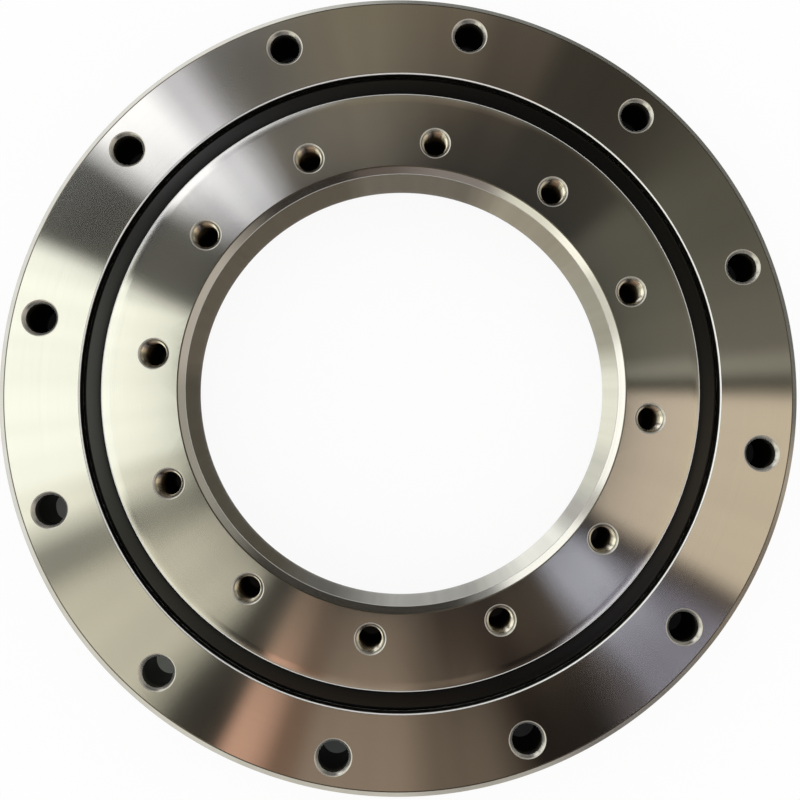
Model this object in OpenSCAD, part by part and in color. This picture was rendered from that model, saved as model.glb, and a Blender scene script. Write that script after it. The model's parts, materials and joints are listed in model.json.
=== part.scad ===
// Crossed roller bearing with one-piece inner and outer rings.
// The axis is Z, the bottom faces lie at z = 0 and the first outer bolt hole is on +X.

/* [Rings] */
// Outside diameter of the outer ring
outer_d = 295; // [288:1:320]
// Bore diameter of the inner ring
bore_d = 160; // [140:1:170]
// Width of both rings along the axis
ring_w = 35; // [32:1:50]
// Chamfer on the edges of the bore and of the outside
edge_chamfer = 2.5; // [0.5:0.1:4]
// Gap between the lands of the two rings
ring_gap = 2; // [1.2:0.1:3]

/* [Rollers] */
// How much the circle through the roller centres is wider than the mean of bore and outside
pitch_shift = 0.5; // [-3.5:0.5:4.5]
// Number of rollers, an even number so that their directions alternate all round
roller_count = 48; // [36:2:50]
// Diameter of a roller
roller_d = 12; // [10:0.5:12.5]
// How much shorter a roller is than its diameter
roller_shortness = 0.5; // [0.3:0.1:1]
// Chamfer on the end edges of a roller
roller_chamfer = 0.5; // [0.2:0.1:1]
// Clearance between a roller and each flank of the race
race_clearance = 0.25; // [0.2:0.05:0.4]
// Width of the relief groove at the bottom of each race
relief_w = 3; // [2:0.1:4]
// Depth of the relief groove below the corner of the race
relief_depth = 0.5; // [0.2:0.1:1]

/* [Spacers] */
// Clearance between a spacer's pocket and the roller in it
pocket_clearance = 0.25; // [0.2:0.05:0.4]
// How far the horns of a spacer stop short of the roller's centre plane
horn_setback = 3.2; // [2.8:0.1:4]
// How far a spacer's truncated corners stand from its middle
spacer_reach = 6.6; // [6.1:0.1:7.2]

/* [Seals] */
// Width of the seal recess, centred on the roller circle
recess_w = 7.6; // [7:0.1:9]
// Depth of the seal recess in each face
recess_depth = 5; // [4.2:0.1:6]
// Chamfer on both edges of the seal recess
recess_chamfer = 0.7; // [0.3:0.1:1.2]
// Height of a seal above the floor of its recess
seal_h = 3.6; // [2.6:0.1:4]
// Width of the flat top of a seal
seal_flat_w = 5.4; // [4:0.1:6]
// Clearance between the seal and the wall that it is pressed on
seal_seat_clearance = 0.03; // [0.02:0.01:0.1]
// Gap between the lip of a seal and the outer ring
lip_gap = 0.35; // [0.3:0.05:0.6]
// Thickness of the seal lip at its tip
lip_t = 0.8; // [0.5:0.1:1.2]

/* [Outer bolt holes] */
// Number of bolt holes in the outer ring
outer_hole_count = 12; // [6:1:16]
// Diameter of a bolt hole in the outer ring
outer_hole_d = 11; // [9:0.5:13]
// Distance from the outside of the ring to the circle of bolt holes
outer_hole_inset = 12.5; // [11.5:0.1:13.5]
// Chamfer on the mouth of an outer bolt hole
outer_hole_chamfer = 1.3; // [0.5:0.1:2]
// Diameter of the counterbore in the bottom face
counterbore_d = 17.5; // [15:0.5:18]
// Depth of the counterbore
counterbore_depth = 10.8; // [6:0.1:14]
// Chamfer on the mouth of the counterbore
counterbore_chamfer = 0.5; // [0.2:0.1:0.8]

/* [Inner bolt holes] */
// Number of tapped holes in the inner ring
inner_hole_count = 12; // [6:1:18]
// Diameter of a tapped hole inside its thread
inner_hole_d = 8.5; // [6.8:0.1:10.2]
// Distance from the bore to the circle of tapped holes
inner_hole_inset = 12; // [10:0.5:15]
// Countersink on both mouths of a tapped hole
inner_hole_chamfer = 1.6; // [0.5:0.1:2.2]
// Angle that the inner ring is turned to, from the first outer bolt hole
inner_turn = 3.2; // [0:0.1:30]

/* [Filling plug] */
// Diameter of the plug that closes the roller filling hole
plug_d = 18; // [17.5:0.5:20]
// Clearance all round the plug and its pin
plug_clearance = 0.02; // [0.01:0.01:0.05]
// Diameter of the taper pin at its large end
pin_d = 5; // [4:0.5:6]
// Loss of diameter of the taper pin for each millimetre of its length
pin_taper = 0.02; // [0.01:0.005:0.03]
// Distance from the outside of the ring to the taper pin
pin_inset = 13; // [10:0.5:15]
// How far the taper pin goes past the plug
pin_grip = 2; // [1:0.5:4]
// How far the large end of the pin is sunk below the bottom face
pin_sink = 0.5; // [0.2:0.1:1]

/* [Hidden] */
$fn = 128;
outer_r = outer_d / 2;
bore_r = bore_d / 2;
pitch_d = (outer_d + bore_d) / 2 + pitch_shift;
pitch_r = pitch_d / 2;
mid_z = ring_w / 2;

outer_land_r = pitch_r + ring_gap / 2;
inner_land_r = pitch_r - ring_gap / 2;
race_half = roller_d / 2 + race_clearance;
race_corner = race_half * sqrt(2);

recess_outer_r = pitch_r + recess_w / 2;
recess_inner_r = pitch_r - recess_w / 2;

roller_l = roller_d - roller_shortness;
roller_step = 360 / roller_count;
half_step = pitch_r * sin(roller_step / 2);
spacer_angle = 2 * asin((half_step - horn_setback) / pitch_r);

outer_hole_r = outer_r - outer_hole_inset;
inner_hole_r = bore_r + inner_hole_inset;

plug_angle = 180 / outer_hole_count;
pin_top_z = mid_z + plug_d / 2 + pin_grip;
cut = 1; // how far every cut runs past the face that it opens

function two_digits(i) = str(i < 10 ? "0" : "", i);
function roller_name(i) = str("roller_", two_digits(i));
function roller_tilt(i) = i % 2 == 1 ? 45 : 135;

ROLLERS = [for (i = [1 : roller_count]) roller_name(i)];
FIXED = ["outer_ring", "filling_plug", "plug_pin"];
TURNING = ["inner_ring", "top_seal", "bottom_seal", "spacers"];

// Square race with a relief groove at its inner and outer corners, cut half into each ring
module race_section() {
    translate([pitch_r, mid_z]) {
        rotate(45) square(2 * race_half, center = true);
        square([2 * (race_corner + relief_depth), relief_w], center = true);
    }
}

module outer_section() {
    difference() {
        polygon([
            [outer_r - edge_chamfer, 0],
            [outer_r, edge_chamfer],
            [outer_r, ring_w - edge_chamfer],
            [outer_r - edge_chamfer, ring_w],
            [recess_outer_r + recess_chamfer, ring_w],
            [recess_outer_r, ring_w - recess_chamfer],
            [recess_outer_r, ring_w - recess_depth],
            [outer_land_r, ring_w - recess_depth],
            [outer_land_r, recess_depth],
            [recess_outer_r, recess_depth],
            [recess_outer_r, recess_chamfer],
            [recess_outer_r + recess_chamfer, 0]
        ]);
        race_section();
    }
}

module inner_section() {
    difference() {
        polygon([
            [bore_r + edge_chamfer, 0],
            [recess_inner_r - recess_chamfer, 0],
            [recess_inner_r, recess_chamfer],
            [recess_inner_r, recess_depth],
            [inner_land_r, recess_depth],
            [inner_land_r, ring_w - recess_depth],
            [recess_inner_r, ring_w - recess_depth],
            [recess_inner_r, ring_w - recess_chamfer],
            [recess_inner_r - recess_chamfer, ring_w],
            [bore_r + edge_chamfer, ring_w],
            [bore_r, ring_w - edge_chamfer],
            [bore_r, edge_chamfer]
        ]);
        race_section();
    }
}

// Seal section above the floor of its recess: a pressed-on foot and a lip towards the outer ring
module seal_section() {
    seat_r = recess_inner_r + seal_seat_clearance;
    lip_r = recess_outer_r - lip_gap;
    rise = seal_h / 4;
    polygon([
        [seat_r, 0],
        [inner_land_r, 0],
        [inner_land_r + rise, rise],
        [lip_r - rise, rise],
        [lip_r, lip_gap],
        [lip_r, lip_gap + lip_t],
        [seat_r + seal_flat_w + rise, seal_h - rise / 2],
        [seat_r + seal_flat_w, seal_h],
        [seat_r + rise / 2, seal_h],
        [seat_r, seal_h - rise / 2]
    ]);
}

// Spacer section: the square of the race, with its four corners cut off
module spacer_section() {
    intersection() {
        rotate(45) square(2 * (race_half - pocket_clearance), center = true);
        square(2 * spacer_reach, center = true);
    }
}

// Chamfered mouth of a hole that opens upwards at the current height
module mouth(d, chamfer) {
    translate([0, 0, -chamfer])
        cylinder(d1 = d, d2 = d + 2 * (chamfer + cut), h = chamfer + cut);
}

module on_circle(count, r) {
    for (i = [0 : count - 1])
        rotate(i * 360 / count) translate([r, 0, 0]) children();
}

// Bolt hole with its counterbore in the bottom face and a chamfer at the top
module outer_hole() {
    translate([0, 0, -cut]) cylinder(d = outer_hole_d, h = ring_w + 2 * cut);
    translate([0, 0, -cut]) cylinder(d = counterbore_d, h = counterbore_depth + cut);
    mirror([0, 0, 1]) mouth(counterbore_d, counterbore_chamfer);
    translate([0, 0, ring_w]) mouth(outer_hole_d, outer_hole_chamfer);
}

// Tapped hole through the ring, countersunk at both ends
module inner_hole() {
    translate([0, 0, -cut]) cylinder(d = inner_hole_d, h = ring_w + 2 * cut);
    mirror([0, 0, 1]) mouth(inner_hole_d, inner_hole_chamfer);
    translate([0, 0, ring_w]) mouth(inner_hole_d, inner_hole_chamfer);
}

// Radial cylinder at mid height, where the rollers are put in
module plug_shape(d) {
    rotate(plug_angle) translate([0, 0, mid_z]) rotate([0, 90, 0]) cylinder(d = d, h = outer_r + cut);
}

// Tapered hole in the ring and the plug, wider than the pin by the clearance
module pin_hole() {
    d = pin_d + 2 * plug_clearance;
    depth = pin_top_z - pin_sink;
    rotate(plug_angle) translate([outer_r - pin_inset, 0, pin_sink]) {
        translate([0, 0, -pin_sink - cut]) cylinder(d = d, h = pin_sink + cut);
        cylinder(d1 = d, d2 = d - depth * pin_taper, h = depth);
    }
}

module place_roller(i) {
    rotate((i - 1) * roller_step) translate([pitch_r, 0, mid_z]) rotate([0, roller_tilt(i), 0]) children();
}

// Room for a roller in the spacers beside it
module pocket(i) {
    place_roller(i) cylinder(d = roller_d + 2 * pocket_clearance, h = 2 * roller_d, center = true);
}

module outer_ring() {
    color("silver") difference() {
        rotate_extrude() outer_section();
        on_circle(outer_hole_count, outer_hole_r) outer_hole();
        plug_shape(plug_d);
        pin_hole();
    }
}

// The inner end of the plug carries its own piece of the race
module filling_plug() {
    color("lightgray") difference() {
        intersection() {
            rotate_extrude() outer_section();
            plug_shape(plug_d - 2 * plug_clearance);
        }
        pin_hole();
    }
}

module plug_pin() {
    pin_l = pin_top_z - pin_sink - pin_grip / 2;
    color("gray") rotate(plug_angle) translate([outer_r - pin_inset, 0, pin_sink])
        cylinder(d1 = pin_d, d2 = pin_d - pin_l * pin_taper, h = pin_l);
}

module inner_ring() {
    color("silver") difference() {
        rotate_extrude() inner_section();
        rotate(inner_turn) on_circle(inner_hole_count, inner_hole_r) inner_hole();
    }
}

module top_seal() {
    color("#303230") translate([0, 0, ring_w - recess_depth]) rotate_extrude() seal_section();
}

module bottom_seal() {
    color("#303230") translate([0, 0, recess_depth]) mirror([0, 0, 1]) rotate_extrude() seal_section();
}

// One spacer between each two neighbouring rollers, hollowed to fit both
module spacers() {
    color("ivory") for (i = [1 : roller_count])
        difference() {
            rotate((i - 0.5) * roller_step - spacer_angle / 2)
                rotate_extrude(angle = spacer_angle) translate([pitch_r, mid_z]) spacer_section();
            pocket(i);
            pocket(i + 1);
        }
}

module roller(i) {
    end_r = roller_d / 2 - roller_chamfer;
    half_l = roller_l / 2;
    color("gainsboro") place_roller(i) rotate_extrude() polygon([
        [0, -half_l],
        [end_r, -half_l],
        [roller_d / 2, roller_chamfer - half_l],
        [roller_d / 2, half_l - roller_chamfer],
        [end_r, half_l],
        [0, half_l]
    ]);
}

outer_ring();
filling_plug();
plug_pin();
inner_ring();
top_seal();
bottom_seal();
spacers();
for (i = [1 : roller_count]) roller(i);
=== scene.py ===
import json
import math
import random
import bmesh
import bpy
from mathutils import Matrix, Vector
from mathutils.geometry import delaunay_2d_cdt


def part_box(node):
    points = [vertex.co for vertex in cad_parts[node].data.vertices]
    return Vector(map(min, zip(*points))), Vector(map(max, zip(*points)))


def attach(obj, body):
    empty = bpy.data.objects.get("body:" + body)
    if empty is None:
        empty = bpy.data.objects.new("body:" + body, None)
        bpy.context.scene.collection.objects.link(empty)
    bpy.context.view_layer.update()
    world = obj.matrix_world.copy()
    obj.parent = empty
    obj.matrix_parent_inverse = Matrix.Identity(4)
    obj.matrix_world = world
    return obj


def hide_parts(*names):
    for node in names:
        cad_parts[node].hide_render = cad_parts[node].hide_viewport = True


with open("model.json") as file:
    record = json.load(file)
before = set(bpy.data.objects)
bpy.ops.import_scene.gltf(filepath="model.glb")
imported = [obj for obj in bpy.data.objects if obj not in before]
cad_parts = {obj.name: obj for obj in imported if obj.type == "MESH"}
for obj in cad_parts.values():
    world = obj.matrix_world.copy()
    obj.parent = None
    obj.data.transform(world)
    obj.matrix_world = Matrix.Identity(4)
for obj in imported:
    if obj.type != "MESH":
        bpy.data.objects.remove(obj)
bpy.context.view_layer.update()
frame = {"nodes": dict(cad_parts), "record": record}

# Sizes in the dictionaries are millimetres and degrees, where a note doesn't say otherwise
mm = 0.001
tiny = 0.001  # lengths in millimetres that differ by less are equal
scene = bpy.context.scene
scene.view_settings.view_transform = "Standard"

mounts = {m["name"]: m["dims"] for m in frame["record"]["mounts"]}
ringLow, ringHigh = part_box("outer_ring")
ringWidth = (ringHigh.z - ringLow.z) / mm


# Mesh helpers

def roundedOutline(corners, steps=3):
    # Corners are (radius, height, fillet), and the outline is closed
    points = []
    for i, (r, z, fillet) in enumerate(corners):
        here = Vector((r, z))
        if not fillet:
            points.append(here)
            continue
        back = (Vector(corners[i - 1][:2]) - here).normalized()
        ahead = (Vector(corners[(i + 1) % len(corners)][:2]) - here).normalized()
        half = back.angle(ahead) / 2
        centre = here + (back + ahead).normalized() * (fillet / math.sin(half))
        first = here + back * (fillet / math.tan(half)) - centre
        side = 1 if back.cross(ahead) < 0 else -1
        for k in range(steps + 1):
            turn = side * (math.pi - 2 * half) * k / steps
            points.append(centre + Matrix.Rotation(turn, 2) @ first)
    return points


def circleRow(bm, r, z, count, centre=(0.0, 0.0)):
    row = []
    for i in range(count):
        a = 2 * math.pi * i / count
        x = centre[0] + r * math.cos(a)
        y = centre[1] + r * math.sin(a)
        row.append(bm.verts.new((x * mm, y * mm, z * mm)))
    return row


def bridgeRows(bm, rowA, rowB, slot):
    count = len(rowA)
    for i in range(count):
        j = (i + 1) % count
        face = bm.faces.new((rowA[i], rowA[j], rowB[j], rowB[i]))
        face.material_index = slot


def fillBetween(bm, loops, slot):
    # Flat face between closed rows: the widest row is its edge, the others are holes in it
    widest = max(loops, key=lambda loop: loop[0].co.xy.length)
    verts, edges, owners = [], [], []
    for loop in loops:
        first = len(verts)
        edges += [(first + i, first + (i + 1) % len(loop)) for i in range(len(loop))]
        verts += loop
        owners += [None if loop is widest else first] * len(loop)
    for corners in delaunay_2d_cdt([v.co.xy for v in verts], edges, [], 0, 1e-7)[2]:
        owner = owners[corners[0]]
        inHole = owner is not None and all(owners[i] == owner for i in corners)
        if not inHole:
            face = bm.faces.new([verts[i] for i in corners])
            face.material_index = slot


def meshPiece(name, bm, materials, smoothAngle=28):
    bmesh.ops.recalc_face_normals(bm, faces=bm.faces)
    data = bpy.data.meshes.new(name)
    bm.to_mesh(data)
    bm.free()
    for material in materials:
        data.materials.append(material)
    piece = bpy.data.objects.new(name, data)
    scene.collection.objects.link(piece)
    smoothPiece(piece, smoothAngle)
    return piece


def smoothPiece(piece, smoothAngle):
    piece.data.shade_smooth()
    piece.data.set_sharp_from_angle(angle=math.radians(smoothAngle))


def keepFlatsFlat(piece):
    # The wide flat faces set the normals where they meet a small rounded edge
    weighted = piece.modifiers.new("flats", "WEIGHTED_NORMAL")
    weighted.keep_sharp = True


def cutAway(piece, cutter, smoothAngle):
    boolean = piece.modifiers.new("cut", "BOOLEAN")
    boolean.object = cutter
    boolean.solver = "EXACT"
    bpy.context.view_layer.update()
    done = bpy.data.meshes.new_from_object(piece.evaluated_get(bpy.context.evaluated_depsgraph_get()))
    piece.modifiers.clear()
    old = piece.data
    piece.data = done
    done.name = piece.name
    bpy.data.meshes.remove(old)
    bpy.data.objects.remove(cutter)
    smoothPiece(piece, smoothAngle)


# Shared shader effects

def newGroup(name, inputs, outputs):
    group = bpy.data.node_groups.new(name, "ShaderNodeTree")
    for label, value in inputs:
        socket = group.interface.new_socket(label, in_out="INPUT", socket_type="NodeSocketFloat")
        socket.default_value = value
    for label in outputs:
        group.interface.new_socket(label, in_out="OUTPUT", socket_type="NodeSocketFloat")
    source = group.nodes.new("NodeGroupInput")
    target = group.nodes.new("NodeGroupOutput")
    return group, source, target


def mathNode(tree, operation, a, b=None):
    node = tree.nodes.new("ShaderNodeMath")
    node.operation = operation
    for socket, value in zip(node.inputs, (a, b)):
        if value is None:
            continue
        if isinstance(value, (int, float)):
            socket.default_value = value
        else:
            tree.links.new(value, socket)
    return node.outputs[0]


def machinedLinesGroup():
    # Lines that run round the ring axis: they change fast with radius and height, slowly with the angle
    inputs = [("Lines per metre", 2500.0), ("Contrast", 0.5)]
    group, source, target = newGroup("machinedLines", inputs, ["Lines", "Height"])
    coords = group.nodes.new("ShaderNodeTexCoord")
    split = group.nodes.new("ShaderNodeSeparateXYZ")
    group.links.new(coords.outputs["Object"], split.inputs[0])
    x, y, z = split.outputs
    squareX = mathNode(group, "MULTIPLY", x, x)
    squareY = mathNode(group, "MULTIPLY", y, y)
    radius = mathNode(group, "SQRT", mathNode(group, "ADD", squareX, squareY))
    across = mathNode(group, "MULTIPLY", radius, source.outputs["Lines per metre"])
    along = mathNode(group, "MULTIPLY", z, source.outputs["Lines per metre"])
    join = group.nodes.new("ShaderNodeCombineXYZ")
    group.links.new(across, join.inputs[0])
    group.links.new(along, join.inputs[1])
    group.links.new(mathNode(group, "DIVIDE", x, radius), join.inputs[2])
    noise = group.nodes.new("ShaderNodeTexNoise")
    noise.noise_dimensions = "4D"
    noise.inputs["Scale"].default_value = 1.0
    noise.inputs["Detail"].default_value = 3.0
    noise.inputs["Roughness"].default_value = 0.6
    group.links.new(join.outputs[0], noise.inputs["Vector"])
    group.links.new(mathNode(group, "DIVIDE", y, radius), noise.inputs["W"])
    offset = mathNode(group, "SUBTRACT", noise.outputs[0], 0.5)
    swing = mathNode(group, "MULTIPLY", offset, source.outputs["Contrast"])
    group.links.new(mathNode(group, "ADD", swing, 0.5), target.inputs["Lines"])
    group.links.new(noise.outputs[0], target.inputs["Height"])
    return group


def oilFilmGroup():
    # Thin patches of preserving oil, a few centimetres wide
    group, source, target = newGroup("oilFilm", [("Patch scale", 28.0), ("Amount", 0.5)], ["Film"])
    coords = group.nodes.new("ShaderNodeTexCoord")
    noise = group.nodes.new("ShaderNodeTexNoise")
    noise.inputs["Detail"].default_value = 4.0
    noise.inputs["Distortion"].default_value = 0.6
    group.links.new(coords.outputs["Object"], noise.inputs["Vector"])
    group.links.new(source.outputs["Patch scale"], noise.inputs["Scale"])
    film = mathNode(group, "MULTIPLY", noise.outputs[0], source.outputs["Amount"])
    group.links.new(film, target.inputs["Film"])
    return group


def groundWavesGroup():
    # The long, very shallow waves of a ground face, which bend the edges of what it mirrors
    group, source, target = newGroup("groundWaves", [("Waves per metre", 30.0)], ["Height"])
    coords = group.nodes.new("ShaderNodeTexCoord")
    noise = group.nodes.new("ShaderNodeTexNoise")
    noise.inputs["Detail"].default_value = 1.0
    group.links.new(coords.outputs["Object"], noise.inputs["Vector"])
    group.links.new(source.outputs["Waves per metre"], noise.inputs["Scale"])
    group.links.new(noise.outputs[0], target.inputs["Height"])
    return group


def holeShadeDepthGroup():
    # How deep a point lies under the nearer face of the ring, for the painted shade that darkens the inside
    # of a hole
    inputs = [("Ring width", 0.035), ("Fade start", 0.003), ("Fade end", 0.008)]
    group, source, target = newGroup("holeShadeDepth", inputs, ["Depth"])
    coords = group.nodes.new("ShaderNodeTexCoord")
    split = group.nodes.new("ShaderNodeSeparateXYZ")
    group.links.new(coords.outputs["Object"], split.inputs[0])
    middle = mathNode(group, "MULTIPLY", source.outputs["Ring width"], 0.5)
    fromMiddle = mathNode(group, "ABSOLUTE", mathNode(group, "SUBTRACT", split.outputs[2], middle))
    fade = group.nodes.new("ShaderNodeMapRange")
    group.links.new(mathNode(group, "SUBTRACT", middle, fromMiddle), fade.inputs["Value"])
    group.links.new(source.outputs["Fade start"], fade.inputs["From Min"])
    group.links.new(source.outputs["Fade end"], fade.inputs["From Max"])
    group.links.new(fade.outputs[0], target.inputs["Depth"])
    return group


linesGroup = machinedLinesGroup()
filmGroup = oilFilmGroup()
wavesGroup = groundWavesGroup()
holeShadeGroup = holeShadeDepthGroup()
print("shader groups done")


# Materials

def newMaterial(name):
    material = bpy.data.materials.new(name)
    material.use_nodes = True
    tree = material.node_tree
    return material, tree, tree.nodes["Principled BSDF"]


def placeGroup(tree, group, **values):
    node = tree.nodes.new("ShaderNodeGroup")
    node.node_tree = group
    for label, value in values.items():
        node.inputs[label.replace("_", " ")].default_value = value
    return node


def spread(tree, value, low, high):
    node = tree.nodes.new("ShaderNodeMapRange")
    node.inputs["To Min"].default_value = low
    node.inputs["To Max"].default_value = high
    tree.links.new(value, node.inputs["Value"])
    return node.outputs[0]


def mixColour(tree, factor, colourA, colourB):
    node = tree.nodes.new("ShaderNodeMix")
    node.data_type = "RGBA"
    tree.links.new(factor, node.inputs["Factor"])
    for socket, colour in zip(node.inputs[6:8], (colourA, colourB)):  # the colour sockets A and B
        if isinstance(colour, tuple):
            socket.default_value = (*colour, 1)
        else:
            tree.links.new(colour, socket)
    return node.outputs[2]


def addBump(tree, shader, height, strength, distance, under=None):
    bump = tree.nodes.new("ShaderNodeBump")
    bump.inputs["Strength"].default_value = strength
    bump.inputs["Distance"].default_value = distance
    tree.links.new(height, bump.inputs["Height"])
    if under:
        tree.links.new(under, bump.inputs["Normal"])
    tree.links.new(bump.outputs[0], shader.inputs["Normal"])
    return bump.outputs[0]


# What all the machined steel shares, with depths in metres
steelMarks = {
    "contrast": 0.9,
    "lineDepth": 0.00002,
    "oilPatches": 24.0,
    "wavesPerMetre": 30.0,
    "waveDepth": 0.0001,
}


def machinedSteel(
        name, dark, pale, lines, roughness, bump, anisotropy=0.0, waves=0.0, metallic=1.0, paintedHoleShade=None):
    # The last argument paints shade deep in a hole: its colour, the depth where it starts and the depth
    # where it is full
    material, tree, shader = newMaterial(name)
    marks = placeGroup(tree, linesGroup, Lines_per_metre=lines, Contrast=steelMarks["contrast"])
    film = placeGroup(tree, filmGroup, Patch_scale=steelMarks["oilPatches"], Amount=1.0)
    colour = mixColour(tree, marks.outputs["Lines"], dark, pale)
    # Painted shade: deeper in a hole, the colour fades to a dark one
    if paintedHoleShade:
        holeShadeColour, start, end = paintedHoleShade
        shade = placeGroup(
            tree, holeShadeGroup, Ring_width=ringWidth * mm, Fade_start=start * mm, Fade_end=end * mm)
        colour = mixColour(tree, shade.outputs["Depth"], colour, holeShadeColour)
    tree.links.new(colour, shader.inputs["Base Color"])
    shader.inputs["Metallic"].default_value = metallic
    tree.links.new(spread(tree, film.outputs["Film"], *roughness), shader.inputs["Roughness"])
    if anisotropy:
        tangent = tree.nodes.new("ShaderNodeTangent")
        tangent.direction_type = "RADIAL"
        tangent.axis = "Z"
        tree.links.new(tangent.outputs[0], shader.inputs["Tangent"])
        shader.inputs["Anisotropic"].default_value = anisotropy
        # A quarter turn smears what is mirrored across the lines, not along them
        shader.inputs["Anisotropic Rotation"].default_value = 0.25
    under = None
    if waves:
        ripple = placeGroup(tree, wavesGroup, Waves_per_metre=steelMarks["wavesPerMetre"])
        under = addBump(tree, shader, ripple.outputs["Height"], waves, steelMarks["waveDepth"])
    addBump(tree, shader, marks.outputs["Height"], bump, steelMarks["lineDepth"], under)
    return material


groundSteel = machinedSteel(
    "groundSteel", dark=(0.59, 0.58, 0.56), pale=(0.65, 0.64, 0.62), lines=2600,
    roughness=(0.095, 0.11), bump=0.06, anisotropy=1.0, waves=0.12)
boreSteel = machinedSteel(
    "boreSteel", dark=(0.58, 0.57, 0.55), pale=(0.66, 0.65, 0.63), lines=1600,
    roughness=(0.14, 0.18), bump=0.08, anisotropy=0.8, waves=0.2)
chamferSteel = machinedSteel(
    "chamferSteel", dark=(0.60, 0.59, 0.57), pale=(0.70, 0.69, 0.67), lines=1400,
    roughness=(0.16, 0.22), bump=0.12, anisotropy=0.6)
# Painted shade: this very dark steel darkens the walls and floor of the seal recess and draws dark lines on
# the rounds between faces and chamfers
paintedShadeSteel = machinedSteel(
    "paintedShadeSteel", dark=(0.13, 0.12, 0.10), pale=(0.19, 0.175, 0.15), lines=1400,
    roughness=(0.34, 0.44), bump=0.10)
# Painted highlight: pale and partly matt, so the chamfers at the seal recess show as a bright line under
# any light
recessHighlightSteel = machinedSteel(
    "recessHighlightSteel", dark=(0.82, 0.82, 0.80), pale=(0.92, 0.92, 0.90), lines=1400,
    roughness=(0.36, 0.44), bump=0.10, metallic=0.3)
rimSteel = machinedSteel(
    "rimSteel", dark=(0.50, 0.48, 0.43), pale=(0.64, 0.62, 0.56), lines=1400,
    roughness=(0.30, 0.38), bump=0.10, metallic=0.6)
mouthSteel = machinedSteel(
    "mouthSteel", dark=(0.46, 0.45, 0.42), pale=(0.58, 0.57, 0.53), lines=1400,
    roughness=(0.18, 0.24), bump=0.12, metallic=0.8)
# Painted shade: the drilled and tapped hole walls darken with depth
drilledSteel = machinedSteel(
    "drilledSteel", dark=(0.26, 0.245, 0.21), pale=(0.36, 0.34, 0.30), lines=900,
    roughness=(0.42, 0.52), bump=0.20, paintedHoleShade=((0.03, 0.028, 0.022), 2.0, 6.0))
tappedSteel = machinedSteel(
    "tappedSteel", dark=(0.62, 0.57, 0.48), pale=(0.76, 0.72, 0.63), lines=900,
    roughness=(0.18, 0.26), bump=0.15, paintedHoleShade=((0.06, 0.046, 0.03), 2.0, 8.0))
plugSteel = machinedSteel(
    "plugSteel", dark=(0.56, 0.55, 0.53), pale=(0.62, 0.61, 0.59), lines=1800,
    roughness=(0.25, 0.30), bump=0.1)
rollerSteel = machinedSteel(
    "rollerSteel", dark=(0.62, 0.62, 0.62), pale=(0.68, 0.68, 0.68), lines=3000,
    roughness=(0.10, 0.14), bump=0.05)
pinSteel = machinedSteel(
    "pinSteel", dark=(0.38, 0.37, 0.35), pale=(0.48, 0.47, 0.45), lines=1500,
    roughness=(0.30, 0.38), bump=0.15)

rubber = {
    "dark": (0.0006, 0.0007, 0.0006),
    "pale": (0.0018, 0.0020, 0.0018),
    "lines": 900.0,
    "contrast": 0.8,
    "oilPatches": 40.0,
    "roughness": (0.18, 0.24),
    "specular": 0.46,
    "bump": 0.25,
    "bumpDepth": 0.00005,  # metres
}


def sealRubberMaterial():
    material, tree, shader = newMaterial("sealRubber")
    marks = placeGroup(tree, linesGroup, Lines_per_metre=rubber["lines"], Contrast=rubber["contrast"])
    film = placeGroup(tree, filmGroup, Patch_scale=rubber["oilPatches"], Amount=1.0)
    colour = mixColour(tree, marks.outputs["Lines"], rubber["dark"], rubber["pale"])
    tree.links.new(colour, shader.inputs["Base Color"])
    tree.links.new(spread(tree, film.outputs["Film"], *rubber["roughness"]), shader.inputs["Roughness"])
    shader.inputs["Specular IOR Level"].default_value = rubber["specular"]
    addBump(tree, shader, marks.outputs["Height"], rubber["bump"], rubber["bumpDepth"])
    return material


resin = {
    "dark": (0.78, 0.74, 0.62),
    "pale": (0.86, 0.83, 0.73),
    "patches": 300.0,
    "roughness": (0.40, 0.55),
    "bump": 0.1,
    "bumpDepth": 0.00005,  # metres
}


def spacerResinMaterial():
    material, tree, shader = newMaterial("spacerResin")
    film = placeGroup(tree, filmGroup, Patch_scale=resin["patches"], Amount=1.0)
    colour = mixColour(tree, film.outputs["Film"], resin["dark"], resin["pale"])
    tree.links.new(colour, shader.inputs["Base Color"])
    tree.links.new(spread(tree, film.outputs["Film"], *resin["roughness"]), shader.inputs["Roughness"])
    addBump(tree, shader, film.outputs["Film"], resin["bump"], resin["bumpDepth"])
    return material


sealRubber = sealRubberMaterial()
spacerResin = spacerResinMaterial()
print("materials done")


# Rings

rings = {
    "outsideR": mounts["outside"]["r_mm"],
    "boreR": mounts["bore"]["r_mm"],
    "edgeChamfer": 2.5,
    "edgeBreak": 0.7,
    "breakSlope": 40,  # a flatter side is the round between a face and its chamfer
    "rimSteps": [(0.0, 0.0), (-0.22, 0.1), (-0.45, 0.3)],  # rim of a hole: change of radius, depth
    "recessOuterR": 117.8,
    "recessInnerR": 110.2,
    "recessDepth": 5.0,
    "recessChamfer": 0.45,
    "innerRoll": [(3.0, 0.0), (1.4, 0.06), (0.0, 0.22)],  # worn edge at the seal: distance, drop
    "outerLandR": 115.0,
    "innerLandR": 113.0,
    "raceHalf": 6.25,
    "reliefWide": 3.0,
    "reliefDepth": 0.5,
    "aroundRing": 480,
    "aroundHole": 64,
    "smoothAngle": 20,
}
pitchR = (rings["outerLandR"] + rings["innerLandR"]) / 2

ringFinishes = [
    groundSteel, boreSteel, chamferSteel, paintedShadeSteel, recessHighlightSteel,
    rimSteel, mouthSteel, drilledSteel, tappedSteel,
]
# Their places in that list
faceFinish, boreFinish, edgeFinish, paintedShadeFinish, recessHighlightFinish = range(5)
rimFinish, mouthFinish, holeFinish, threadFinish = range(5, 9)


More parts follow.
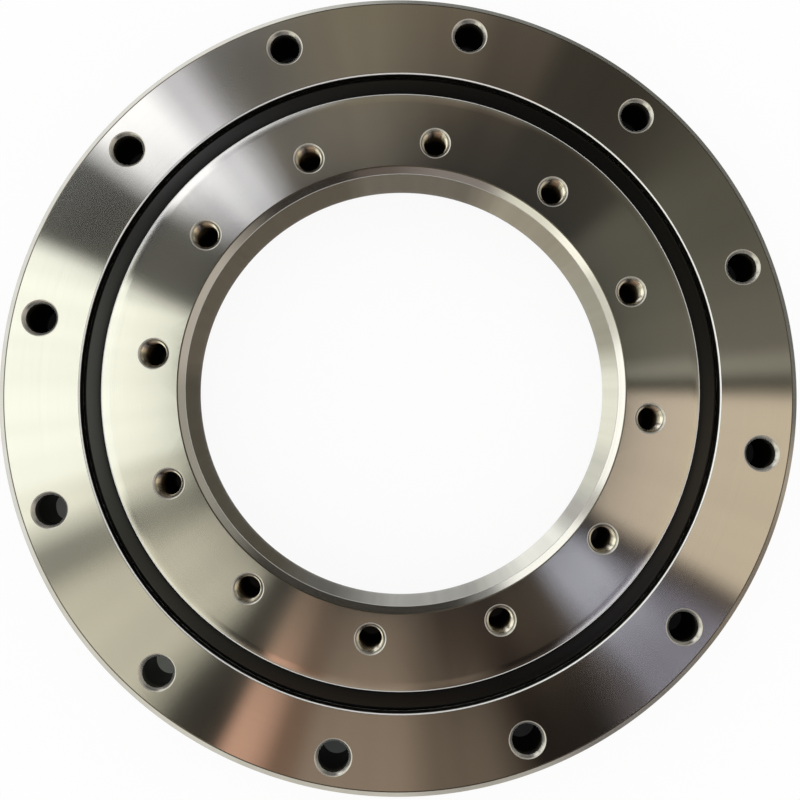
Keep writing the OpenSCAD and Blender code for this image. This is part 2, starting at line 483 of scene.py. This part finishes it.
def raceCorners(side):
    # The V race of one ring from its lower land to its upper one; side is 1 for the outer ring
    land = rings["outerLandR"] if side > 0 else rings["innerLandR"]
    middle = ringWidth / 2
    corner = rings["raceHalf"] * math.sqrt(2)
    opening = corner - abs(land - pitchR)
    relief = rings["reliefWide"] / 2
    shoulder = pitchR + side * (corner - relief)
    floor = pitchR + side * (corner + rings["reliefDepth"])
    return [
        (land, middle - opening, 0.3),
        (shoulder, middle - relief, 0),
        (floor, middle - relief, 0),
        (floor, middle + relief, 0),
        (shoulder, middle + relief, 0),
        (land, middle + opening, 0.3),
    ]


def recessCorners(side):
    # The seal recess in the bottom face, from the face to the land
    wall = rings["recessOuterR"] if side > 0 else rings["recessInnerR"]
    land = rings["outerLandR"] if side > 0 else rings["innerLandR"]
    chamfer = rings["recessChamfer"]
    roll = rings["innerRoll"] if side < 0 else [(0.0, 0.0)]
    edge = [(wall + side * (chamfer + away), drop, 0) for away, drop in roll]
    edge[-1] = (*edge[-1][:2], 0.2)
    return edge + [
        (wall, chamfer + roll[-1][1], 0.15),
        (wall, rings["recessDepth"], 0.2),
        (land, rings["recessDepth"], 0.1),
    ]


def mirrored(corners):
    return [(r, ringWidth - z, fillet) for r, z, fillet in reversed(corners)]


def ringCorners(side):
    edgeR = rings["outsideR"] if side > 0 else rings["boreR"]
    chamfer, soft = rings["edgeChamfer"], rings["edgeBreak"]
    edge = [
        (edgeR - side * chamfer, 0, soft),
        (edgeR, chamfer, soft),
        (edgeR, ringWidth - chamfer, soft),
        (edgeR - side * chamfer, ringWidth, soft),
    ]
    bottom = recessCorners(side)
    inside = bottom + raceCorners(side) + mirrored(bottom)
    return edge + list(reversed(inside))


def sideFinish(p, q, straight):
    middleR = (rings["recessOuterR"] + rings["recessInnerR"]) / 2
    recessWide = rings["recessOuterR"] - rings["recessInnerR"]
    if straight:
        if max(p.x, q.x) < rings["boreR"] + tiny:
            return boreFinish
        inRecess = max(abs(p.x - middleR), abs(q.x - middleR)) < recessWide / 2 + tiny
        # The straight walls and floor of the seal recess get the painted shade
        return paintedShadeFinish if inRecess else faceFinish
    if rings["recessDepth"] < p.y < ringWidth - rings["recessDepth"]:
        return faceFinish
    slope = math.degrees(math.atan2(abs(p.y - q.y), abs(p.x - q.x)))
    onBreak = slope < rings["breakSlope"]
    nearRecess = abs(p.x - middleR) < recessWide
    if nearRecess:
        return faceFinish if onBreak else recessHighlightFinish
    return paintedShadeFinish if onBreak else edgeFinish


def latheRing(bm, side, topLoops, bottomLoops):
    outline = roundedOutline(ringCorners(side))
    rows = [circleRow(bm, p.x, p.y, rings["aroundRing"]) for p in outline]
    for i, p in enumerate(outline):
        q = outline[(i + 1) % len(outline)]
        pair = (rows[i], rows[(i + 1) % len(rows)])
        level = abs(p.y - q.y) < tiny
        upright = abs(p.x - q.x) < tiny
        flatFace = level and min(abs(p.y), abs(p.y - ringWidth)) < tiny
        if flatFace:
            onTop = p.y > ringWidth / 2
            fillBetween(bm, [*pair, *(topLoops if onTop else bottomLoops)], faceFinish)
        else:
            bridgeRows(bm, *pair, sideFinish(p, q, level or upright))


def boltCentres(pcd, count, firstAngle):
    centres = []
    for i in range(count):
        a = math.radians(firstAngle) + 2 * math.pi * i / count
        centres.append((pcd / 2 * math.cos(a), pcd / 2 * math.sin(a)))
    return centres


def drillRing(bm, bolts, firstAngle, makeHole):
    # The rows where the holes open in the top and the bottom face
    tops, bottoms = [], []
    for centre in boltCentres(bolts["pcd_mm"], bolts["count"], firstAngle):
        top, bottom = makeHole(bm, centre)
        tops.append(top)
        bottoms.append(bottom)
    return tops, bottoms


outerRingParts = {
    "holeMouthR": 6.8,
    "holeBreak": 0.1,
    "counterboreR": 8.75,
    "counterboreDepth": 10.8,
    "counterboreBevel": 0.3,
    "counterboreChamfer": 0.5,
    "plugR": 9.0,
    "plugCutLength": 60,
    "pinR": 2.52,
    "pinEndR": 2.24,
    "pinDepth": 28.5,
    "pinInset": 13.0,
    "pinCutBelow": 1,
}


def outerHole(bm, centre):
    parts = outerRingParts
    holeR = mounts["outer_bolts"]["hole_r_mm"]
    mouth, soft = parts["holeMouthR"], parts["holeBreak"]
    wideR, depth = parts["counterboreR"], parts["counterboreDepth"]
    bevel, lip = parts["counterboreBevel"], parts["counterboreChamfer"]
    rim = [(mouth + change, ringWidth - drop) for change, drop in rings["rimSteps"]]
    steps = rim + [
        (holeR + soft, ringWidth - (mouth - holeR) + soft),
        (holeR, ringWidth - (mouth - holeR) - soft),
        (holeR, depth + soft),
        (holeR + soft, depth),
        (wideR - bevel, depth),
        (wideR, depth - bevel),
        (wideR, lip),
        (wideR + lip, 0),
    ]
    rows = [circleRow(bm, r, z, rings["aroundHole"], centre) for r, z in steps]
    for i, (rowA, rowB) in enumerate(zip(rows, rows[1:])):
        finish = holeFinish
        if i < len(rim) - 1:
            finish = rimFinish
        elif i <= len(rim) or i == len(rows) - 2:
            finish = mouthFinish
        bridgeRows(bm, rowA, rowB, finish)
    return rows[0], rows[-1]


def roundCutter(name, lowR, highR, length, count=96):
    bm = bmesh.new()
    bmesh.ops.create_cone(
        bm, cap_ends=True, segments=count, radius1=lowR * mm, radius2=highR * mm, depth=length * mm)
    return meshPiece(name, bm, [drilledSteel])


def makeOuterRing():
    parts = outerRingParts
    bolts = mounts["outer_bolts"]
    bm = bmesh.new()
    tops, bottoms = drillRing(bm, bolts, 0, outerHole)
    latheRing(bm, 1, tops, bottoms)
    piece = meshPiece("outerRing", bm, ringFinishes, rings["smoothAngle"])
    plugTurn = Matrix.Rotation(math.pi / bolts["count"], 4, "Z")
    lyingDown = Matrix.Rotation(math.pi / 2, 4, "Y")
    plugCut = roundCutter("plugCut", parts["plugR"], parts["plugR"], parts["plugCutLength"])
    plugMiddle = Vector((rings["recessInnerR"] + parts["plugCutLength"] / 2, 0, ringWidth / 2)) * mm
    plugCut.matrix_world = plugTurn @ Matrix.Translation(plugMiddle) @ lyingDown
    cutAway(piece, plugCut, rings["smoothAngle"])
    below = parts["pinCutBelow"]
    pinCut = roundCutter("pinCut", parts["pinR"], parts["pinEndR"], parts["pinDepth"] + below)
    pinMiddle = Vector((rings["outsideR"] - parts["pinInset"], 0, (parts["pinDepth"] - below) / 2)) * mm
    pinCut.matrix_world = plugTurn @ Matrix.Translation(pinMiddle)
    cutAway(piece, pinCut, rings["smoothAngle"])
    keepFlatsFlat(piece)
    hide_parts("outer_ring")
    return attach(piece, "outer")


innerRingParts = {
    "turn": 3.2,
    "threadR": 5.0,
    "pitch": 1.5,
    "aroundThread": 36,
    "countersinkR": 5.85,
}


def countersink(bm, centre, face, inward, end):
    parts = innerRingParts
    mouthR = parts["countersinkR"]
    rim = [(mouthR + change, face + inward * drop) for change, drop in rings["rimSteps"]]
    steps = rim + [(parts["threadR"], end)]
    rows = [circleRow(bm, r, z, parts["aroundThread"], centre) for r, z in steps]
    for i, (rowA, rowB) in enumerate(zip(rows, rows[1:])):
        bridgeRows(bm, rowA, rowB, rimFinish if i < len(rim) - 1 else mouthFinish)
    return rows[0], rows[-1]


def threadedHole(bm, centre):
    # Metric inside thread: each row follows the helix along one edge of a crest or a root
    parts = innerRingParts
    count, pitch = parts["aroundThread"], parts["pitch"]
    rootR, mouthR = parts["threadR"], parts["countersinkR"]
    crestR = mounts["inner_bolts"]["hole_r_mm"]
    edges = [(0, crestR), (1 / 4, crestR), (9 / 16, rootR), (11 / 16, rootR)]  # shares of the pitch
    low, high = mouthR - rootR, ringWidth - (mouthR - rootR)
    top, topEnd = countersink(bm, centre, ringWidth, -1, high)
    bottom, bottomEnd = countersink(bm, centre, 0, 1, low)
    rows = []
    for turn in range(-1, math.ceil((high - low) / pitch) + 1):
        for share, edgeR in edges:
            row = []
            for i in range(count):
                a = 2 * math.pi * i / count
                z = min(high, max(low, low + pitch * (turn + share + i / count)))
                r = max(edgeR, mouthR - min(z, ringWidth - z))
                spot = Vector((centre[0] + r * math.cos(a), centre[1] + r * math.sin(a), z)) * mm
                row.append(bm.verts.new(spot))
            rows.append(row)
    perTurn = len(edges)
    for k, row in enumerate(rows[:-perTurn - 1]):
        for i in range(count):
            ahead, step = (k, i + 1) if i + 1 < count else (k + perTurn, 0)
            face = bm.faces.new((row[i], rows[ahead][step], rows[ahead + 1][step], rows[k + 1][i]))
            face.material_index = threadFinish
    joined = [v for row in [*rows, topEnd, bottomEnd] for v in row]
    bmesh.ops.remove_doubles(bm, verts=joined, dist=tiny * mm)
    return top, bottom


def makeInnerRing():
    bm = bmesh.new()
    tops, bottoms = drillRing(bm, mounts["inner_bolts"], innerRingParts["turn"], threadedHole)
    latheRing(bm, -1, tops, bottoms)
    piece = meshPiece("innerRing", bm, ringFinishes, rings["smoothAngle"])
    keepFlatsFlat(piece)
    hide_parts("inner_ring")
    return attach(piece, "inner")


outerRing = makeOuterRing()
innerRing = makeInnerRing()
print("rings done", len(outerRing.data.polygons), len(innerRing.data.polygons))


# Seals

seals = {
    "height": 3.6,
    "flatWide": 5.4,
    "seatGap": 0.03,
    "lipGap": 0.35,
    "lipThick": 0.8,
    "smoothAngle": 40,
}


def sealCorners():
    seat = rings["recessInnerR"] + seals["seatGap"]
    lip = rings["recessOuterR"] - seals["lipGap"]
    rise = seals["height"] / 4
    top = seals["height"]
    flatEnd = seat + seals["flatWide"]
    return [
        (seat, 0, 0),
        (rings["innerLandR"], 0, 0.2),
        (rings["innerLandR"] + rise, rise, 0.2),
        (lip - rise, rise, 0.2),
        (lip, seals["lipGap"], 0.1),
        (lip, seals["lipGap"] + seals["lipThick"], 0.15),
        (flatEnd + rise, top - rise / 2, 0.4),
        (flatEnd, top, 0.4),
        (seat + rise / 2, top, 0.25),
        (seat, top - rise / 2, 0.15),
    ]


def makeSeal(name, node, top):
    bm = bmesh.new()
    floor = ringWidth - rings["recessDepth"] if top else rings["recessDepth"]
    side = 1 if top else -1
    rows = []
    for p in roundedOutline(sealCorners()):
        rows.append(circleRow(bm, p.x, floor + side * p.y, rings["aroundRing"]))
    for i, row in enumerate(rows):
        bridgeRows(bm, row, rows[(i + 1) % len(rows)], 0)
    piece = meshPiece(name, bm, [sealRubber], seals["smoothAngle"])
    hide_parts(node)
    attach(piece, "inner")


makeSeal("topSeal", "top_seal", True)
makeSeal("bottomSeal", "bottom_seal", False)
print("seals done")


# The pieces that keep their solids get their finish

def dress(node, material):
    slots = frame["nodes"][node].data.materials
    slots.clear()
    slots.append(material)


dress("filling_plug", plugSteel)
dress("plug_pin", pinSteel)
dress("spacers", spacerResin)
for node in frame["nodes"]:
    if node.startswith("roller_"):
        dress(node, rollerSteel)
print("inner pieces dressed")


# Camera, fitted to the bolt holes and the edges of the rings in the photograph

camera = {
    "turn": 19.29,  # where the photograph has the first outer hole, from its own right-hand side
    "lens": 46.63,
    "sensor": 36.0,
    "x": -2.21,
    "y": -19.24,
    "above": 380.92,
    "tiltX": 4.505,
    "tiltY": -1.982,
    "shiftX": -0.0415,  # shares of the picture
    "shiftY": -0.0538,
    "clipStart": 10.0,
}
lens = bpy.data.cameras.new("photoView")
lens.sensor_width = camera["sensor"]
lens.lens = camera["lens"]
lens.shift_x = camera["shiftX"]
lens.shift_y = camera["shiftY"]
lens.clip_start = camera["clipStart"] * mm
viewer = bpy.data.objects.new("photoView", lens)
scene.collection.objects.link(viewer)
photoTurn = Matrix.Rotation(-math.radians(camera["turn"]), 4, "Z")
tiltX = Matrix.Rotation(math.radians(camera["tiltX"]), 4, "X")
tiltY = Matrix.Rotation(math.radians(camera["tiltY"]), 4, "Y")
tilt = tiltX @ tiltY
place = Matrix.Translation(Vector((camera["x"], camera["y"], camera["above"] + ringWidth)) * mm)
viewer.matrix_world = photoTurn @ place @ tilt
scene.camera = viewer
print("camera done")


# Stage: a pale floor, white surroundings, and cards of soft panels for the metal to mirror
# Each panel is a name, where it starts and ends in degrees round the photograph, and its colour

stageSteps = 360
clutter = {"seed": 5, "amount": 0.05}  # small uneven things in the room, which show as fine streaks


def aroundStage(r, z):
    # Points round the axis, from the photograph's left-hand side
    turns = [2 * math.pi * i / stageSteps - math.pi for i in range(stageSteps)]
    return [Vector((r * math.cos(a), r * math.sin(a), z)) for a in turns]


def turnOf(corner):
    return corner[0]


def panelColour(panels, turn):
    # Between two panels the colour changes evenly
    turn = turn % 360
    corners = [(at % 360, colour) for _, start, end, colour in panels for at in (start, end)]
    corners.sort(key=turnOf)
    before = max((c for c in corners if turnOf(c) <= turn), key=turnOf, default=corners[-1])
    after = min((c for c in corners if turnOf(c) > turn), key=turnOf, default=corners[0])
    span = (turnOf(after) - turnOf(before)) % 360
    share = (turn - turnOf(before)) % 360 / span if span else 0
    return Vector(before[1]).lerp(Vector(after[1]), share)


def cardGlow():
    material = bpy.data.materials.new("cardGlow")
    material.use_nodes = True
    tree = material.node_tree
    tree.nodes.clear()
    tone = tree.nodes.new("ShaderNodeVertexColor")
    tone.layer_name = "tone"
    glow = tree.nodes.new("ShaderNodeEmission")
    out = tree.nodes.new("ShaderNodeOutputMaterial")
    tree.links.new(tone.outputs["Color"], glow.inputs["Color"])
    tree.links.new(glow.outputs[0], out.inputs["Surface"])
    return material


cardMaterial = cardGlow()


def makeCard(name, rows, panels, reflectedOnly=True):
    chance = random.Random(clutter["seed"])
    bm = bmesh.new()
    toneLayer = bm.loops.layers.float_color.new("tone")
    grid = [[bm.verts.new(spot * mm) for spot in row] for row in rows]
    tones = []
    for i in range(stageSteps):
        uneven = 1 + chance.uniform(-1, 1) * clutter["amount"]
        tones.append((*(panelColour(panels, 360 * i / stageSteps - 180) * uneven), 1))
    for rowA, rowB in zip(grid, grid[1:]):
        for i in range(stageSteps):
            j = (i + 1) % stageSteps
            face = bm.faces.new((rowA[i], rowA[j], rowB[j], rowB[i]))
            for loop, step in zip(face.loops, (i, j, j, i)):
                loop[toneLayer] = tones[step]
    card = meshPiece(name, bm, [cardMaterial])
    card.matrix_world = photoTurn
    if reflectedOnly:
        card.visible_camera = False
        card.visible_diffuse = False
        card.visible_shadow = False


room = {
    "radius": 2200.0,
    "wallTop": 34.0,
    "wallFoot": 1.0,
    "wallRows": 12,
    # Which panels a zone of the roof has, the two radii of the top face that mirror its edges, and its rows
    "roofZones": [
        ("overhead", 1.0, 76.0, 4),
        ("innerRoof", 76.0, 114.0, 4),
        ("outerRoof", 114.0, 185.0, 4),
        ("highRoof", 185.0, 255.0, 3),
        ("outerRoof", 255.0, 565.0, 8),
    ],
    "overhead": [("shade", 0, 359, (0.03, 0.03, 0.03))],
    "innerRoof": [
        ("doorGap", 359.5, 361, (0.08, 0.075, 0.055)),
        ("doorEdge", 2.5, 4, (0.42, 0.41, 0.33)),
        ("olive", 7, 12, (0.20, 0.19, 0.145)),
        ("moss", 22, 38, (0.175, 0.17, 0.13)),
        ("night", 42, 80, (0.06, 0.054, 0.045)),
        ("bark", 97, 118, (0.25, 0.225, 0.185)),
        ("softBox", 126, 133, (1.28, 1.29, 1.33)),
        ("softBoxEdge", 136.5, 138, (0.62, 0.61, 0.64)),
        ("stone", 142.5, 159, (0.18, 0.175, 0.145)),
        ("window", 163, 194, (1.60, 1.62, 1.38)),
        ("windowEdge", 198, 200, (0.98, 0.97, 0.78)),
        ("ash", 207, 211, (0.46, 0.45, 0.355)),
        ("khaki", 215, 232, (0.82, 0.78, 0.615)),
        ("ink", 237, 240, (0.11, 0.10, 0.08)),
        ("clay", 244, 246, (0.36, 0.28, 0.20)),
        ("brown", 251, 254, (0.22, 0.17, 0.125)),
        ("clayAgain", 262, 266, (0.32, 0.25, 0.185)),
        ("cocoa", 279, 292, (0.07, 0.048, 0.035)),
        ("cocoaEdge", 296, 304, (0.11, 0.085, 0.06)),
        ("lavender", 310, 317, (0.74, 0.76, 0.86)),
        ("gap", 322, 324, (0.06, 0.05, 0.04)),
        ("tan", 329, 357.5, (0.87, 0.735, 0.57)),
    ],
    "outerRoof": [
        ("doorGap", 359.5, 361, (0.075, 0.07, 0.053)),
        ("doorEdge", 2.5, 4, (0.34, 0.32, 0.25)),
        ("olive", 6, 10, (0.20, 0.18, 0.14)),
        ("moss", 25, 33, (0.13, 0.12, 0.09)),
        ("night", 51, 64, (0.055, 0.048, 0.036)),
        ("umber", 67, 75, (0.125, 0.10, 0.073)),
        ("umberPale", 79, 84, (0.20, 0.163, 0.116)),
        ("bark", 94, 100, (0.275, 0.235, 0.165)),
        ("smoke", 114, 121, (0.125, 0.117, 0.098)),
        ("softBoxEdge", 126, 128, (0.82, 0.80, 0.84)),
        ("softBox", 132, 140, (1.74, 1.74, 1.74)),
        ("slate", 145, 157, (0.05, 0.05, 0.044)),
        ("window", 160, 194, (1.56, 1.59, 1.40)),
        ("windowEdge", 198, 200, (1.38, 1.38, 1.15)),
        ("ash", 205, 208, (0.30, 0.295, 0.24)),
        ("khaki", 212, 228, (0.78, 0.74, 0.575)),
        ("ink", 235, 242, (0.02, 0.02, 0.016)),
        ("rose", 244, 247, (0.90, 0.52, 0.36)),
        ("russet", 251, 253, (0.24, 0.14, 0.09)),
        ("clay", 256, 270, (0.37, 0.28, 0.205)),
        ("brown", 275, 283, (0.21, 0.165, 0.12)),
        ("black", 290, 301, (0.01, 0.008, 0.006)),
        ("maroon", 305, 307, (0.05, 0.035, 0.033)),
        ("lavender", 310, 322, (0.21, 0.195, 0.24)),
        ("maroonEdge", 325.5, 326.5, (0.05, 0.036, 0.032)),
        ("tan", 329.5, 357.5, (0.82, 0.69, 0.51)),
    ],
    "highRoof": [
        ("lamp", 120, 146, (1.6, 1.6, 1.65)),
        ("window", 158, 194, (1.55, 1.57, 1.36)),
        ("cream", 203, 231, (1.5, 1.47, 1.2)),
        ("clay", 238, 268, (0.50, 0.42, 0.32)),
        ("brown", 276, 300, (0.12, 0.09, 0.07)),
        ("pearl", 308, 321, (1.5, 1.5, 1.6)),
        ("tan", 328, 355, (0.84, 0.72, 0.54)),
        ("olive", 4, 30, (0.22, 0.21, 0.16)),
        ("moss", 50, 60, (0.12, 0.11, 0.085)),
        ("grey", 68, 100, (0.30, 0.28, 0.23)),
    ],
    "walls": [
        ("window", 118, 138, (1.60, 1.60, 1.50)),
        ("bar", 142, 148, (0.65, 0.64, 0.58)),
        ("windowAgain", 151, 186, (1.60, 1.60, 1.48)),
        ("windowEdge", 191, 207, (0.95, 0.93, 0.80)),
        ("cream", 211, 221, (1.60, 1.57, 1.36)),
        ("sand", 227, 238, (1.10, 1.08, 0.90)),
        ("rose", 246, 262, (0.31, 0.275, 0.25)),
        ("umber", 274, 282, (0.16, 0.13, 0.11)),
        ("dark", 286, 309, (0.035, 0.028, 0.023)),
        ("tan", 328, 357, (0.63, 0.575, 0.49)),
        ("brown", 363, 392, (0.45, 0.425, 0.355)),
        ("brownEdge", 37, 42, (0.33, 0.315, 0.27)),
        ("shade", 52, 104, (0.045, 0.041, 0.034)),
        ("grey", 108, 112, (0.28, 0.28, 0.265)),
    ],
}


def mirroredRow(faceR):
    # The circle on the dome that the camera sees mirrored in a circle of the top face
    eye = Vector((camera["x"], camera["y"], -camera["above"]))
    row = []
    for spot in aroundStage(faceR, 0):
        ray = (spot - eye).normalized()
        along = eye.dot(ray)
        reach = math.sqrt(along ** 2 - eye.length_squared + room["radius"] ** 2) - along
        row.append(eye + ray * reach + Vector((0, 0, ringWidth)))
    return row


def makeRoof(name, fromR, toR, steps):
    rows = [mirroredRow(fromR + (toR - fromR) * k / steps) for k in range(steps + 1)]
    makeCard(name, rows, room[name])


def makeWalls():
    steps = room["wallRows"]
    rows = []
    for k in range(steps + 1):
        lift = math.radians(room["wallTop"] + (room["wallFoot"] - room["wallTop"]) * k / steps)
        rows.append(aroundStage(room["radius"] * math.cos(lift), room["radius"] * math.sin(lift)))
    makeCard("roomWalls", rows, room["walls"])


# Cards on the floor: the first three are mirrored in the bore and the outside of the rings,
# and the two under the rings show through the bolt holes as painted light and painted shade
floorCards = {
    "bore": {
        "radii": (40.0, 79.6),
        "height": 0.1,
        "reflectedOnly": True,
        "panels": [
            ("right", 347, 364, (1.05, 1.04, 0.88)),
            ("sage", 13, 28, (0.48, 0.46, 0.365)),
            ("warm", 44, 62, (0.42, 0.38, 0.29)),
            ("top", 72, 100, (0.20, 0.175, 0.14)),
            ("brown", 106, 172, (0.14, 0.118, 0.088)),
            ("dark", 178, 234, (0.095, 0.085, 0.063)),
            ("grey", 246, 251, (0.15, 0.145, 0.13)),
            ("low", 267, 289, (0.44, 0.44, 0.41)),
            ("pale", 307, 317, (1.10, 1.10, 1.02)),
            ("dim", 323, 327, (0.56, 0.55, 0.51)),
            ("pearl", 333, 340, (0.80, 0.80, 0.70)),
        ],
    },
    "outside": {
        "radii": (200.0, 420.0),
        "height": 0.1,
        "reflectedOnly": True,
        "panels": [
            ("right", -4, 60, (0.15, 0.15, 0.13)),
            ("top", 72, 88, (0.24, 0.24, 0.22)),
            ("pale", 108, 200, (1.05, 1.05, 0.98)),
            ("cream", 210, 242, (0.88, 0.86, 0.76)),
            ("grey", 252, 270, (0.75, 0.72, 0.63)),
            ("ash", 277, 290, (0.55, 0.52, 0.46)),
            ("brown", 298, 316, (0.24, 0.215, 0.195)),
            ("clay", 322, 338, (0.24, 0.195, 0.145)),
            ("tan", 345, 350, (0.45, 0.38, 0.29)),
        ],
    },
    "foot": {
        "radii": (149.0, 200.0),
        "height": 0.1,
        "reflectedOnly": True,
        "panels": [
            ("right", -10, 50, (0.46, 0.46, 0.44)),
            ("top", 80, 100, (0.55, 0.55, 0.53)),
            ("left", 120, 230, (0.62, 0.62, 0.60)),
            ("low", 260, 300, (0.50, 0.49, 0.46)),
        ],
    },
    # Painted light and shade under the outer ring: a faint glow to the left, near black elsewhere
    "underOuterLightAndShade": {
        "radii": (112.0, 144.4),
        "height": -0.1,
        "reflectedOnly": False,
        "panels": [
            ("leftLight", 194, 206, (0.05, 0.052, 0.048)),
            ("leftShade", 224, 234, (0.075, 0.078, 0.07)),
            ("lowShade", 254, 264, (0.033, 0.036, 0.034)),
            ("farShade", 284, 294, (0.011, 0.011, 0.011)),
            ("dark", 310, 532, (0.004, 0.004, 0.004)),
        ],
    },
    # Painted shade under the inner ring: a near black sheet seen through the tapped holes
    "underInnerShade": {
        "radii": (80.6, 112.0),
        "height": -0.1,
        "reflectedOnly": False,
        "panels": [("dark", 0, 359, (0.004, 0.0035, 0.003))],
    },
}


def makeFloorCard(name, card):
    rows = [aroundStage(r, card["height"]) for r in card["radii"]]
    makeCard(name + "Card", rows, card["panels"], card["reflectedOnly"])


for roofZone in room["roofZones"]:
    makeRoof(*roofZone)
makeWalls()
for cardName, card in floorCards.items():
    makeFloorCard(cardName, card)
print("cards done")

floors = {
    "size": 6000.0,
    "below": 0.2,
    "colour": (0.93, 0.93, 0.93),
    "whiteShare": 0.9,  # how much of its brightness the seen floor keeps in the shadow of the ring
}


def floorMaterial():
    material = bpy.data.materials.new("paleFloor")
    material.use_nodes = True
    tree = material.node_tree
    tree.nodes.clear()
    matt = tree.nodes.new("ShaderNodeBsdfDiffuse")
    matt.inputs["Color"].default_value = (*floors["colour"], 1)
    out = tree.nodes.new("ShaderNodeOutputMaterial")
    glow = tree.nodes.new("ShaderNodeEmission")
    glow.inputs["Color"].default_value = (1, 1, 1, 1)
    paths = tree.nodes.new("ShaderNodeLightPath")
    seen = mathNode(tree, "MAXIMUM", paths.outputs["Is Camera Ray"], paths.outputs["Is Glossy Ray"])
    seen = mathNode(tree, "MAXIMUM", seen, paths.outputs["Is Transmission Ray"])
    mix = tree.nodes.new("ShaderNodeMixShader")
    tree.links.new(mathNode(tree, "MULTIPLY", seen, floors["whiteShare"]), mix.inputs[0])
    tree.links.new(matt.outputs[0], mix.inputs[1])
    tree.links.new(glow.outputs[0], mix.inputs[2])
    tree.links.new(mix.outputs[0], out.inputs["Surface"])
    return material


def makeFloor():
    bm = bmesh.new()
    bmesh.ops.create_grid(bm, x_segments=1, y_segments=1, size=floors["size"] / 2 * mm)
    floor = meshPiece("floor", bm, [floorMaterial()])
    floor.location.z = -floors["below"] * mm


def makeWorld():
    world = bpy.data.worlds.new("whiteRoom")
    world.use_nodes = True
    background = world.node_tree.nodes["Background"]
    background.inputs["Color"].default_value = (1, 1, 1, 1)
    background.inputs["Strength"].default_value = 1.0
    world.cycles.sampling_method = "NONE"  # else the white world shines through the panels into the metal
    scene.world = world


makeFloor()
makeWorld()
print("stage done")
